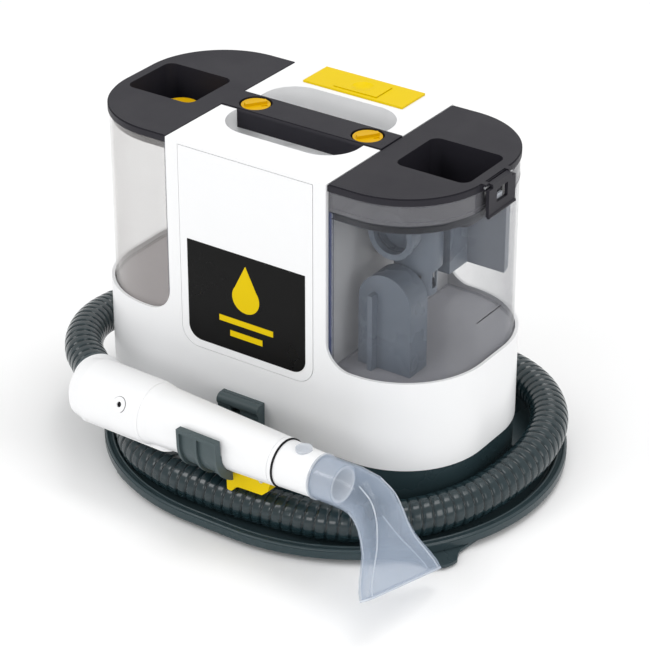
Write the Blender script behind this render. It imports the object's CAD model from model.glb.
import bpy
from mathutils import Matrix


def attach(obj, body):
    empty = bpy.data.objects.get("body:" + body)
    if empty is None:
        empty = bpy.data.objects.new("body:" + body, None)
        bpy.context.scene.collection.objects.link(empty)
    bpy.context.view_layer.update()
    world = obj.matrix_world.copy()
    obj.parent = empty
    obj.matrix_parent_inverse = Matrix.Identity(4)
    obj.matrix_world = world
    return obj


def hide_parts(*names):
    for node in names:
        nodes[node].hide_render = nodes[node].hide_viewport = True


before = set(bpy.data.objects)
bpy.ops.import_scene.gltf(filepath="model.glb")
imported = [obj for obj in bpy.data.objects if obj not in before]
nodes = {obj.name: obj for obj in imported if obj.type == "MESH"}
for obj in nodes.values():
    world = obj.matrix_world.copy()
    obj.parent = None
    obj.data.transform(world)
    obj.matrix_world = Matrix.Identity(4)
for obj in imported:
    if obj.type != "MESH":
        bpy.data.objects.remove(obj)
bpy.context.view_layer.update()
import bpy, bmesh, math
from mathutils import Vector, Matrix
import numpy as np

# ---------------------------------------------------------------- camera
AZ, EL = math.radians(34.57), math.radians(29.0)
right = Vector((math.cos(AZ), math.sin(AZ), 0))
back = Vector((math.sin(AZ) * math.cos(EL), -math.cos(AZ) * math.cos(EL), math.sin(EL)))
up = back.cross(right)
aim = Vector((0, 0, 0.160)) + right * 0.0126 + up * (-0.0364)
cam_data = bpy.data.cameras.new("camera")
cam_data.lens = 142.9
cam_data.sensor_width = 36.0
cam_data.clip_start = 0.05
cam_data.clip_end = 60.0
cam_data.dof.use_dof = False
cam = bpy.data.objects.new("camera", cam_data)
bpy.context.scene.collection.objects.link(cam)
cam.matrix_world = Matrix.Translation(aim + back * 2.411) @ Matrix((right, up, back)).transposed().to_4x4()
bpy.context.scene.camera = cam


# ---------------------------------------------------------------- helpers
def add_mesh(name, verts, faces, smooth=True):
    me = bpy.data.meshes.new(name)
    me.from_pydata([tuple(v) for v in verts], [], faces)
    me.validate()
    bm = bmesh.new()
    bm.from_mesh(me)
    bmesh.ops.recalc_face_normals(bm, faces=bm.faces)
    bm.to_mesh(me)
    bm.free()
    me.polygons.foreach_set("use_smooth", [smooth] * len(me.polygons))
    ob = bpy.data.objects.new(name, me)
    bpy.context.scene.collection.objects.link(ob)
    return ob


def catmull(points, step):
    """Points every step metres along a smooth line through points."""
    p = [Vector(q) for q in points]
    p = [p[0] * 2 - p[1]] + p + [p[-1] * 2 - p[-2]]
    dense = []
    for i in range(1, len(p) - 2):
        for k in range(24):
            t = k / 24
            a, b, c, d = p[i - 1], p[i], p[i + 1], p[i + 2]
            dense.append(0.5 * ((2 * b) + (c - a) * t + (2 * a - 5 * b + 4 * c - d) * t * t + (3 * b - a - 3 * c + d) * t ** 3))
    dense.append(p[-2])
    acc = [0.0]
    for i in range(1, len(dense)):
        acc.append(acc[-1] + (dense[i] - dense[i - 1]).length)
    n = max(2, round(acc[-1] / step))
    xs = np.linspace(0, acc[-1], n + 1)
    arr = np.array([list(v) for v in dense])
    out = np.stack([np.interp(xs, acc, arr[:, k]) for k in range(3)], 1)
    return [Vector(q) for q in out], acc[-1]


def frames_along(pts):
    """Tangent, side and up at each point, turning as little as possible."""
    tans = []
    for i in range(len(pts)):
        a = pts[max(0, i - 1)]
        b = pts[min(len(pts) - 1, i + 1)]
        tans.append((b - a).normalized())
    side = tans[0].cross(Vector((0, 0, 1))).normalized()
    out = []
    for t in tans:
        side = (side - t * side.dot(t)).normalized()
        out.append((t, side, side.cross(t)))
    return out


# ---------------------------------------------------------------- hose
HOSE = [(-123.9, -121.1, 28), (-111.3, -131.7, 28), (-97.5, -144.5, 28), (-81, -154.5, 28), (-63, -161, 28),
 (-45, -165.5, 28), (-26.8, -168.2, 28), (4.6, -169, 28), (37, -167.5, 28), (64.6, -165, 28),
 (93.5, -161, 28), (122, -153.5, 28), (149, -140, 28), (174, -119.5, 28), (194, -94, 28.3),
 (209, -64, 29), (219, -32, 31), (224.5, 6, 34.3), (222.5, 46, 36.5), (211, 86, 37.5),
 (189, 120, 37), (158, 147, 35), (118, 166, 31.5), (72, 173, 28.5), (24, 174, 28),
 (-24, 172, 28), (-70, 164, 28.5), (-112, 146, 32), (-150, 126, 37.5), (-183, 107, 44),
 (-208, 78, 52), (-222, 43, 60), (-227, 4, 69), (-224, -34, 76), (-215, -66, 81),
 (-201, -93, 83.5), (-184, -114, 84.1), (-167.5, -126.8, 84.2), (-149.95, -139.85, 84.8)]
HOSE = [(a / 1000, b / 1000, c / 1000) for a, b, c in HOSE]
PITCH = 0.0098
R_CREST, R_VALLEY = 0.0184, 0.0163
line, hose_len = catmull(HOSE, PITCH / 10)
fr = frames_along(line)
SEG = 40
verts, faces, deep = [], [], []
for i, (p, (t, s, u)) in enumerate(zip(line, fr)):
    d = hose_len * i / (len(line) - 1)
    for k in range(SEG):
        a = 2 * math.pi * k / SEG
        # a helical corrugation: broad round crest, tight valley
        ph = (d / PITCH - a / (2 * math.pi)) % 1.0
        w = 1 - abs(2 * ph - 1)
        prof = min(1.0, w * 2.4) if w < 0.55 else 1.0
        prof = math.sin(prof * math.pi / 2) ** 0.8
        ends = min(1.0, min(d, hose_len - d) / 0.004)
        r = R_VALLEY + (R_CREST - R_VALLEY) * prof * ends
        verts.append(p + s * (r * math.cos(a)) + u * (r * math.sin(a)))
        deep.append(1 - prof)
for i in range(len(line) - 1):
    for k in range(SEG):
        l = (k + 1) % SEG
        faces.append((i * SEG + k, i * SEG + l, (i + 1) * SEG + l, (i + 1) * SEG + k))
faces.append(tuple(range(SEG - 1, -1, -1)))
faces.append(tuple((len(line) - 1) * SEG + k for k in range(SEG)))
hose = add_mesh("hose_corrugated", verts, faces)
at = hose.data.attributes.new("valley", "FLOAT", "POINT")
at.data.foreach_set("value", deep)
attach(hose, "housing")
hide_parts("hose")
path = [list(v) for v in line[::20]]
if (Vector(path[-1]) - line[-1]).length > 1e-6:
    path.append(list(line[-1]))
print("hose length", hose_len)


# ---------------------------------------------------------------- materials
def nt(mat):
    return mat.node_tree.nodes, mat.node_tree.links


def plastic(name, col, rough=0.3, grain=0.0, grain_scale=900.0, coat=0.0, wave=0.0, trans=0.0, alpha=1.0, ior=1.46,
            metal=0.0, rough_var=0.06, tint=0.02, dust=0.0, dustcol=(0.6, 0.6, 0.58), spec=0.5, sss=0.0):
    """A moulded surface with a fine grain, slow waviness, uneven gloss and a little settled dust."""
    m = bpy.data.materials.new(name)
    m.use_nodes = True
    N, L = nt(m)
    b = N["Principled BSDF"]
    b.inputs["Base Color"].default_value = (*col, 1)
    b.inputs["Metallic"].default_value = metal
    b.inputs["IOR"].default_value = ior
    b.inputs["Specular IOR Level"].default_value = spec
    b.inputs["Coat Weight"].default_value = coat
    b.inputs["Coat Roughness"].default_value = 0.06
    b.inputs["Transmission Weight"].default_value = trans
    b.inputs["Alpha"].default_value = alpha
    b.inputs["Subsurface Weight"].default_value = sss
    b.inputs["Subsurface Radius"].default_value = (0.004, 0.004, 0.004)
    tc = N.new("ShaderNodeTexCoord")
    n1 = N.new("ShaderNodeTexNoise")
    n1.inputs["Scale"].default_value = 14.0
    n1.inputs["Detail"].default_value = 5.0
    L.new(tc.outputs["Object"], n1.inputs["Vector"])
    # uneven gloss
    mr = N.new("ShaderNodeMapRange")
    mr.inputs["From Min"].default_value = 0.3
    mr.inputs["From Max"].default_value = 0.7
    mr.inputs["To Min"].default_value = max(0.02, rough - rough_var)
    mr.inputs["To Max"].default_value = rough + rough_var
    L.new(n1.outputs["Fac"], mr.inputs["Value"])
    L.new(mr.outputs["Result"], b.inputs["Roughness"])
    # slight tint changes
    mix = N.new("ShaderNodeMix")
    mix.data_type = "RGBA"
    mix.inputs["A"].default_value = (*[max(0, c * (1 - tint)) for c in col], 1)
    mix.inputs["B"].default_value = (*[min(1, c * (1 + tint)) for c in col], 1)
    L.new(n1.outputs["Fac"], mix.inputs["Factor"])
    last = mix.outputs["Result"]
    if dust > 0:
        geo = N.new("ShaderNodeNewGeometry")
        sep = N.new("ShaderNodeSeparateXYZ")
        L.new(geo.outputs["Normal"], sep.inputs["Vector"])
        up_ = N.new("ShaderNodeMapRange")
        up_.inputs["From Min"].default_value = 0.2
        up_.inputs["From Max"].default_value = 1.0
        up_.inputs["To Max"].default_value = dust
        L.new(sep.outputs["Z"], up_.inputs["Value"])
        nd = N.new("ShaderNodeTexNoise")
        nd.inputs["Scale"].default_value = 60.0
        nd.inputs["Detail"].default_value = 6.0
        L.new(tc.outputs["Object"], nd.inputs["Vector"])
        mul = N.new("ShaderNodeMath")
        mul.operation = "MULTIPLY"
        L.new(up_.outputs["Result"], mul.inputs[0])
        L.new(nd.outputs["Fac"], mul.inputs[1])
        mx = N.new("ShaderNodeMix")
        mx.data_type = "RGBA"
        L.new(mul.outputs["Value"], mx.inputs["Factor"])
        L.new(last, mx.inputs["A"])
        mx.inputs["B"].default_value = (*dustcol, 1)
        last = mx.outputs["Result"]
    L.new(last, b.inputs["Base Color"])
    height = None
    if grain > 0:
        ng = N.new("ShaderNodeTexNoise")
        ng.inputs["Scale"].default_value = grain_scale
        ng.inputs["Detail"].default_value = 2.0
        L.new(tc.outputs["Object"], ng.inputs["Vector"])
        bp = N.new("ShaderNodeBump")
        bp.inputs["Strength"].default_value = grain
        bp.inputs["Distance"].default_value = 0.0004
        L.new(ng.outputs["Fac"], bp.inputs["Height"])
        height = bp
    if wave > 0:
        nw = N.new("ShaderNodeTexNoise")
        nw.inputs["Scale"].default_value = 9.0
        nw.inputs["Detail"].default_value = 1.0
        L.new(tc.outputs["Object"], nw.inputs["Vector"])
        bw = N.new("ShaderNodeBump")
        bw.inputs["Strength"].default_value = wave
        bw.inputs["Distance"].default_value = 0.002
        L.new(nw.outputs["Fac"], bw.inputs["Height"])
        if height:
            L.new(height.outputs["Normal"], bw.inputs["Normal"])
        height = bw
    if height:
        L.new(height.outputs["Normal"], b.inputs["Normal"])
    return m


MAT = {
    "white": plastic("white_moulding", (0.86, 0.865, 0.872), 0.30, grain=0.03, coat=0.08, wave=0.025, tint=0.004, rough_var=0.02, spec=0.4),
    "slate": plastic("slate_moulding", (0.026, 0.046, 0.053), 0.27, grain=0.10, dust=0.02, tint=0.06, spec=0.45),
    "charcoal": plastic("charcoal_moulding", (0.019, 0.018, 0.024), 0.50, grain=0.45, grain_scale=1500, dust=0.015, tint=0.05, spec=0.22),
    "yellow": plastic("yellow_moulding", (0.74, 0.53, 0.0), 0.36, grain=0.06, tint=0.03, spec=0.10),
    "amber": plastic("amber_moulding", (0.66, 0.38, 0.0), 0.34, grain=0.06, tint=0.03, spec=0.14),
    "rubber": plastic("black_rubber", (0.008, 0.008, 0.010), 0.62, grain=0.3, grain_scale=600, spec=0.2),
    "steel": plastic("zinc_steel", (0.50, 0.51, 0.52), 0.34, grain=0.2, metal=1.0),
    "motor": plastic("motor_paint", (0.20, 0.21, 0.23), 0.45, grain=0.2),
    "board": plastic("board_green", (0.02, 0.13, 0.06), 0.4, grain=0.2),
    "label": plastic("label_film", (0.004, 0.004, 0.004), 0.30, grain=0.03, wave=0.03, spec=0.12),
    "clip": plastic("grey_moulding", (0.062, 0.086, 0.092), 0.40, grain=0.2, dust=0.02, spec=0.3),
    "hose": plastic("hose_vinyl", (0.012, 0.026, 0.031), 0.17, grain=0.04, wave=0.1, coat=0.12, tint=0.15, rough_var=0.05, spec=0.5),
    "brass": plastic("brass", (0.55, 0.40, 0.15), 0.3, metal=1.0),
    "orange": plastic("float_orange", (0.16, 0.13, 0.12), 0.4),
    "smoky_part": plastic("smoky_inner", (0.125, 0.150, 0.185), 0.30, wave=0.05, tint=0.10, spec=0.4),
    "bead": plastic("smoky_bead", (0.10, 0.10, 0.115), 0.25, tint=0.1),
    "line": plastic("printed_line", (0.02, 0.02, 0.025), 0.4, tint=0.1),
    "seal": plastic("dark_seal", (0.030, 0.032, 0.040), 0.45, tint=0.1, spec=0.3),
}
# the hose's grooves are darker than its crests
N, L = nt(MAT["hose"])
av = N.new("ShaderNodeAttribute")
av.attribute_name = "valley"
mv = N.new("ShaderNodeMix")
mv.data_type = "RGBA"
mv.blend_type = "MULTIPLY"
mv.inputs["B"].default_value = (0.30, 0.32, 0.33, 1)
old = N["Principled BSDF"].inputs["Base Color"].links[0].from_socket
L.new(av.outputs["Fac"], mv.inputs["Factor"])
L.new(old, mv.inputs["A"])
L.new(mv.outputs["Result"], N["Principled BSDF"].inputs["Base Color"])


def clear(name, col, alpha_face, alpha_edge, rough=0.08, blend=0.35, floor=None, corner=None):
    """Thin clear moulding: see-through face on, denser toward its edges, with a glossy skin. floor and corner are denser parts."""
    m = bpy.data.materials.new(name)
    m.use_nodes = True
    N, L = nt(m)
    b = N["Principled BSDF"]
    b.inputs["IOR"].default_value = 1.45
    b.inputs["Coat Weight"].default_value = 0.3
    b.inputs["Coat Roughness"].default_value = 0.04
    tc = N.new("ShaderNodeTexCoord")
    n1 = N.new("ShaderNodeTexNoise")
    n1.inputs["Scale"].default_value = 18.0
    n1.inputs["Detail"].default_value = 4.0
    L.new(tc.outputs["Object"], n1.inputs["Vector"])
    mr = N.new("ShaderNodeMapRange")
    mr.inputs["To Min"].default_value = rough * 0.6
    mr.inputs["To Max"].default_value = rough * 1.6
    L.new(n1.outputs["Fac"], mr.inputs["Value"])
    L.new(mr.outputs["Result"], b.inputs["Roughness"])
    cm = N.new("ShaderNodeMix")
    cm.data_type = "RGBA"
    cm.inputs["A"].default_value = (*[c * 0.93 for c in col], 1)
    cm.inputs["B"].default_value = (*[min(1, c * 1.05) for c in col], 1)
    L.new(n1.outputs["Fac"], cm.inputs["Factor"])
    colour = cm.outputs["Result"]
    lw = N.new("ShaderNodeLayerWeight")
    lw.inputs["Blend"].default_value = blend
    ma = N.new("ShaderNodeMapRange")
    ma.inputs["To Min"].default_value = alpha_face
    ma.inputs["To Max"].default_value = alpha_edge
    L.new(lw.outputs["Facing"], ma.inputs["Value"])
    alpha = ma.outputs["Result"]
    if floor:
        sep = N.new("ShaderNodeSeparateXYZ")
        L.new(tc.outputs["Object"], sep.inputs["Vector"])
        fz = N.new("ShaderNodeMapRange")
        fz.inputs["From Min"].default_value = 0.1472
        fz.inputs["From Max"].default_value = 0.1455
        L.new(sep.outputs["Z"], fz.inputs["Value"])
        mc = N.new("ShaderNodeMix")
        mc.data_type = "RGBA"
        L.new(fz.outputs["Result"], mc.inputs["Factor"])
        L.new(colour, mc.inputs["A"])
        mc.inputs["B"].default_value = (*floor[0], 1)
        colour = mc.outputs["Result"]
        mf_ = N.new("ShaderNodeMath")
        mf_.operation = "MULTIPLY"
        mf_.inputs[1].default_value = floor[1]
        L.new(fz.outputs["Result"], mf_.inputs[0])
        mx = N.new("ShaderNodeMath")
        mx.operation = "MAXIMUM"
        L.new(mf_.outputs["Value"], mx.inputs[0])
        L.new(alpha, mx.inputs[1])
        alpha = mx.outputs["Value"]
        if corner:
            # the thick corner beside the tower reads as a dark line
            ab = N.new("ShaderNodeMath")
            ab.operation = "ABSOLUTE"
            L.new(sep.outputs["X"], ab.inputs[0])
            cx = N.new("ShaderNodeMapRange")
            cx.inputs["From Min"].default_value = 0.0918
            cx.inputs["From Max"].default_value = 0.0906
            L.new(ab.outputs["Value"], cx.inputs["Value"])
            cy = N.new("ShaderNodeMapRange")
            cy.inputs["From Min"].default_value = -0.0955
            cy.inputs["From Max"].default_value = -0.0965
            L.new(sep.outputs["Y"], cy.inputs["Value"])
            cc = N.new("ShaderNodeMath")
            cc.operation = "MULTIPLY"
            L.new(cx.outputs["Result"], cc.inputs[0])
            L.new(cy.outputs["Result"], cc.inputs[1])
            mk = N.new("ShaderNodeMix")
            mk.data_type = "RGBA"
            L.new(cc.outputs["Value"], mk.inputs["Factor"])
            L.new(colour, mk.inputs["A"])
            mk.inputs["B"].default_value = (*corner[0], 1)
            colour = mk.outputs["Result"]
            c2 = N.new("ShaderNodeMath")
            c2.operation = "MULTIPLY"
            c2.inputs[1].default_value = corner[1]
            L.new(cc.outputs["Value"], c2.inputs[0])
            m2 = N.new("ShaderNodeMath")
            m2.operation = "MAXIMUM"
            L.new(c2.outputs["Value"], m2.inputs[0])
            L.new(alpha, m2.inputs[1])
            alpha = m2.outputs["Value"]
    L.new(colour, b.inputs["Base Color"])
    L.new(alpha, b.inputs["Alpha"])
    bw = N.new("ShaderNodeBump")
    bw.inputs["Strength"].default_value = 0.12
    bw.inputs["Distance"].default_value = 0.0015
    nw = N.new("ShaderNodeTexNoise")
    nw.inputs["Scale"].default_value = 12.0
    nw.inputs["Detail"].default_value = 1.5
    L.new(tc.outputs["Object"], nw.inputs["Vector"])
    L.new(nw.outputs["Fac"], bw.inputs["Height"])
    L.new(bw.outputs["Normal"], b.inputs["Normal"])
    return m


MAT["clear_tank"] = clear("clear_tank_moulding", (0.66, 0.64, 0.63), 0.10, 0.60, 0.07, 0.20, ((0.33, 0.28, 0.285), 0.86), ((0.16, 0.17, 0.19), 0.7))
MAT["smoky_tank"] = clear("smoky_tank_moulding", (0.24, 0.25, 0.28), 0.035, 0.58, 0.06, 0.20, ((0.50, 0.50, 0.54), 0.50), ((0.03, 0.045, 0.12), 0.85))
MAT["smoky_skirt"] = clear("smoky_skirt_moulding", (0.15, 0.15, 0.165), 0.62, 0.88, 0.10, 0.25)
MAT["clear_nozzle"] = clear("clear_nozzle_moulding", (0.42, 0.50, 0.62), 0.15, 0.85, 0.07, 0.26)
MAT["clear_bit"] = clear("clear_small_moulding", (0.74, 0.78, 0.84), 0.35, 0.9, 0.06, 0.4)
MAT["clear_edge"] = clear("clear_edge_moulding", (0.80, 0.84, 0.90), 0.55, 0.95, 0.06, 0.4)

BY_NODE = {
    "base_tray": "slate", "rubber_feet": "rubber", "base_screws": "steel", "main_shell": "white", "front_panel": "white",
    "label_plate": "label", "label_emblem": "yellow", "rear_cover": "white", "rear_screws": "steel", "handle_well": "white",
    "handle_bar": "charcoal", "trim_bar": "yellow", "power_switch": "charcoal", "vacuum_motor": "motor",
    "motor_fan_case": "motor", "motor_seat": "rubber", "pump_body": "motor", "pump_bracket": "motor",
    "control_board": "board", "cord_gland": "rubber", "suction_duct": "slate", "hose_port": "slate",
    "valve_seat": "charcoal", "duct_seal": "rubber", "wand_clip": "clip", "clip_screws": "steel", "power_button": "yellow",
    "clean_tank": "clear_tank", "clean_lid": "charcoal", "clean_gasket": "rubber", "clean_valve": "charcoal",
    "fill_cap": "amber", "dirty_tank": "smoky_tank", "dirty_duct": "smoky_part", "latch_catch": "clear_bit",
    "dirty_lid": "charcoal", "lid_skirt": "smoky_skirt", "dirty_gasket": "rubber", "inlet_elbow": "smoky_part",
    "float_cage": "smoky_part", "float_ball": "orange", "filter_box": "smoky_part", "lid_latch": "charcoal",
    "latch_pin": "steel", "knob_left": "amber", "knob_right": "amber", "wand_shell": "white", "wand_neck": "white",
    "end_ring": "rubber", "grip_screws": "rubber", "spray_valve": "brass", "trigger": "yellow", "trigger_pin": "steel",
    "hose_collar": "slate", "nozzle": "clear_nozzle", "nozzle_ring": "clear_bit", "nozzle_button": "clear_bit",
    "spray_tip": "smoky_part"}
SLOT = {"white": "white_shell", "slate": "dark_tray"}
for n, key in BY_NODE.items():
    ob = nodes[n]
    ob.data.materials.clear()
    ob.data.materials.append(MAT[key])
hose.data.materials.append(MAT["hose"])


# ---------------------------------------------------------------- small detail
def sweep(name, points, radius, body, mat, seg=10, closed=False, squash=1.0):
    """A thin bead along points, oval where squash is under 1."""
    pts = [Vector(p) for p in points]
    n = len(pts)
    v, f = [], []
    for i, p in enumerate(pts):
        a = pts[(i - 1) % n] if closed else pts[max(0, i - 1)]
        b = pts[(i + 1) % n] if closed else pts[min(n - 1, i + 1)]
        t = (b - a).normalized()
        s = t.cross(Vector((0, 0, 1)))
        s = s.normalized() if s.length > 1e-4 else Vector((1, 0, 0))
        u = s.cross(t)
        for k in range(seg):
            w = 2 * math.pi * k / seg
            v.append(p + s * (radius * math.cos(w)) + u * (radius * squash * math.sin(w)))
    last = n if closed else n - 1
    for i in range(last):
        j = (i + 1) % n
        for k in range(seg):
            l = (k + 1) % seg
            f.append((i * seg + k, i * seg + l, j * seg + l, j * seg + k))
    if not closed:
        f.append(tuple(range(seg - 1, -1, -1)))
        f.append(tuple((n - 1) * seg + k for k in range(seg)))
    ob = add_mesh(name, v, f)
    ob.data.materials.append(MAT[mat])
    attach(ob, body)
    return ob


def stadium(cx, cy, h, r, z, n=72):
    out = []
    for k in range(n + 1):
        a = math.pi * k / n - math.pi / 2
        out.append(((cx + h + r * math.cos(a)) / 1000, (cy + r * math.sin(a)) / 1000, z / 1000))
    for k in range(n + 1):
        a = math.pi * k / n + math.pi / 2
        out.append(((cx - h + r * math.cos(a)) / 1000, (cy + r * math.sin(a)) / 1000, z / 1000))
    return out


# rolled lip round the tray: an outer roll and a thin inner bead
sweep("tray_lip_outer", stadium(25, 2, 24, 198.4, 12.9), 0.0022, "housing", "slate", closed=True)
sweep("tray_lip_inner", stadium(25, 2, 24, 193.0, 13.9), 0.0013, "housing", "slate", closed=True)
sweep("tray_inner_step", stadium(25, 2, 24, 188.5, 9.9), 0.0009, "housing", "slate", closed=True)


def tank_arc(e, z, side=1, n=40):
    """The outer outline of a tank in plan, from its front corner round to its back corner."""
    hx, hy, r = 195.6 + e, 99.4 + e, 80 + e
    out = [(88.6, -hy)]
    for k in range(n + 1):
        a = -math.pi / 2 + (math.pi / 2) * k / n
        out.append((hx - r + r * math.cos(a), -(hy - r) + r * math.sin(a)))
    for k in range(n + 1):
        a = (math.pi / 2) * k / n
        out.append((hx - r + r * math.cos(a), (hy - r) + r * math.sin(a)))
    out.append((88.6, hy))
    return [(side * x / 1000, y / 1000, z / 1000) for x, y in out]


# seal lines round the top of the dirty tank
sweep("seal_line_joint", tank_arc(-0.25, 303.2), 0.0005, "dirty_water_tank", "seal")
sweep("seal_line_low", tank_arc(-2.9, 295.6), 0.0006, "tank_cover", "seal", squash=1.0)
sweep("skirt_bead", tank_arc(-0.4, 307.4), 0.0005, "tank_cover", "bead")
sweep("skirt_bead_top", tank_arc(-0.4, 321.6), 0.0005, "tank_cover", "bead")
# fill level line
pts = []
for k in range(25):
    y = -25.0 + 42.0 * k / 24
    x = 195.6 if abs(y) < 19.4 else 115.6 + math.sqrt(80 ** 2 - (abs(y) - 19.4) ** 2)
    pts.append(((x + 0.15) / 1000, y / 1000, 0.193))
sweep("level_line", pts, 0.0005, "dirty_water_tank", "line", seg=8)

# brighter corners and mouth of the nozzle
NZ = [(72, 0, 4, 20.6, 20.3, 2.1), (86, -2, 18, 21.6, 20, 2.3), (97, -8, 36, 23, 18.5, 2.5), (105, -17, 50, 25, 15.5, 2.8),
      (111, -27, 58, 28, 12.5, 3.2), (117, -37, 60, 33, 10, 3.8), (122, -46, 60, 40, 8.6, 4.5),
      (127, -55, 60, 47.5, 7.8, 5), (131, -62, 60, 52, 7.2, 6), (135, -69, 60, 54, 7, 7)]
PITCH_W, YAW_W, ROLL_W = math.radians(1.9), math.radians(-3.7), math.radians(-12)
WAND = (Matrix.Translation((98.8, -180, 93.1)) @ Matrix.Rotation(YAW_W, 4, "Z") @ Matrix.Rotation(-PITCH_W, 4, "Y")
        @ Matrix.Rotation(ROLL_W, 4, "X"))


def nz_point(q, ang, inset):
    e = 2 / q[5]
    c, s = math.cos(math.radians(ang)), math.sin(math.radians(ang))
    y = (q[3] - inset) * math.copysign(abs(c) ** e, c)
    u = (q[4] - inset) * math.copysign(abs(s) ** e, s)
    tilt = math.radians(q[2])
    return (WAND @ Vector((q[0] + u * math.sin(tilt), y, q[1] + u * math.cos(tilt)))) / 1000


# seam round the screw boss on the grip
GRIP = Matrix.Translation((98.8, -180, 93.1)) @ Matrix.Rotation(YAW_W, 4, "Z") @ Matrix.Rotation(-PITCH_W, 4, "Y")
pts = []
for k in range(29):
    a = math.radians(-60 + 210 * k / 28)
    dx, dz = 7.35 * math.cos(a), 7.35 * math.sin(a)
    tilt = math.radians(27.5)
    # on the grip's skin: offset along and round the tube
    w = tilt + dz / 30.35
    pts.append((GRIP @ Vector((-173.5 + dx, -30.4 * math.cos(w), 30.4 * math.sin(w)))) / 1000)
sweep("boss_seam", pts, 0.00028, "wand", "line", seg=8)

for i, ang in enumerate((45, 135, 225, 315)):
    pts, _ = catmull([nz_point(q, ang, 0.75) for q in NZ[1:]], 0.002)
    sweep("nozzle_corner_%d" % (i + 1), pts, 0.00065, "nozzle_head", "clear_edge")
sweep("nozzle_mouth_rim", [nz_point(NZ[-1], 360 * k / 72, 0.9) - (WAND.to_3x3() @ Vector((0.0005, 0, -0.0008))) for k in range(72)], 0.0009,
      "nozzle_head", "clear_edge", closed=True)

# softened edges on the CAD pieces
for n, w in {"main_shell": 0.0012, "front_panel": 0.0005, "clean_lid": 0.0010, "dirty_lid": 0.0010, "handle_bar": 0.0010,
             "handle_well": 0.0012, "trim_bar": 0.0006, "power_button": 0.0006, "knob_left": 0.0006, "knob_right": 0.0006,
             "base_tray": 0.0008, "wand_clip": 0.0009, "trigger": 0.0016, "lid_latch": 0.0006, "clean_tank": 0.0006,
             "dirty_tank": 0.0006, "rear_cover": 0.0005, "fill_cap": 0.0006, "wand_shell": 0.0012, "hose_port": 0.0006,
             "end_ring": 0.0004, "wand_neck": 0.0004, "label_plate": 0.0002}.items():
    ob = nodes[n]
    be = ob.modifiers.new("edge", "BEVEL")
    be.width = w
    be.segments = 3
    be.limit_method = "ANGLE"
    be.angle_limit = math.radians(32)
    be.harden_normals = True

# ---------------------------------------------------------------- floor and light
floor = add_mesh("studio_floor", [(-30, -30, 0), (30, -30, 0), (30, 30, 0), (-30, 30, 0)], [(0, 1, 2, 3)], False)
fm = bpy.data.materials.new("studio_floor")
fm.use_nodes = True
N, L = nt(fm)
N["Principled BSDF"].inputs["Base Color"].default_value = (0.96, 0.96, 0.96, 1)
N["Principled BSDF"].inputs["Roughness"].default_value = 0.7
tc = N.new("ShaderNodeTexCoord")
nf = N.new("ShaderNodeTexNoise")
nf.inputs["Scale"].default_value = 3.0
L.new(tc.outputs["Object"], nf.inputs["Vector"])
mf = N.new("ShaderNodeMapRange")
mf.inputs["To Min"].default_value = 0.62
mf.inputs["To Max"].default_value = 0.78
L.new(nf.outputs["Fac"], mf.inputs["Value"])
L.new(mf.outputs["Result"], N["Principled BSDF"].inputs["Roughness"])
floor.data.materials.append(fm)

world = bpy.data.worlds.new("studio")
bpy.context.scene.world = world
world.use_nodes = True
world.node_tree.nodes["Background"].inputs["Color"].default_value = (1.0, 1.0, 1.0, 1)
world.node_tree.nodes["Background"].inputs["Strength"].default_value = 0.74


def area(name, loc, target, size, power, col=(1, 1, 1)):
    li = bpy.data.lights.new(name, "AREA")
    li.shape = "RECTANGLE"
    li.size, li.size_y = size
    li.energy = power
    li.color = col
    ob = bpy.data.objects.new(name, li)
    ob.location = loc
    ob.rotation_euler = (Vector(target) - Vector(loc)).to_track_quat("-Z", "Y").to_euler()
    bpy.context.scene.collection.objects.link(ob)
    return ob


area("key", (-1.5, -2.0, 2.4), (0, 0, 0.15), (1.4, 1.0), 19)
area("front", (0.5, -3.2, 1.3), (0, 0, 0.15), (1.6, 0.8), 15)
area("side", (2.8, -0.4, 1.5), (0, 0, 0.15), (1.0, 1.4), 15)
area("top", (0.2, 0.7, 2.8), (0, 0, 0.2), (1.6, 1.2), 22)
bpy.context.scene.view_settings.view_transform = "Standard"
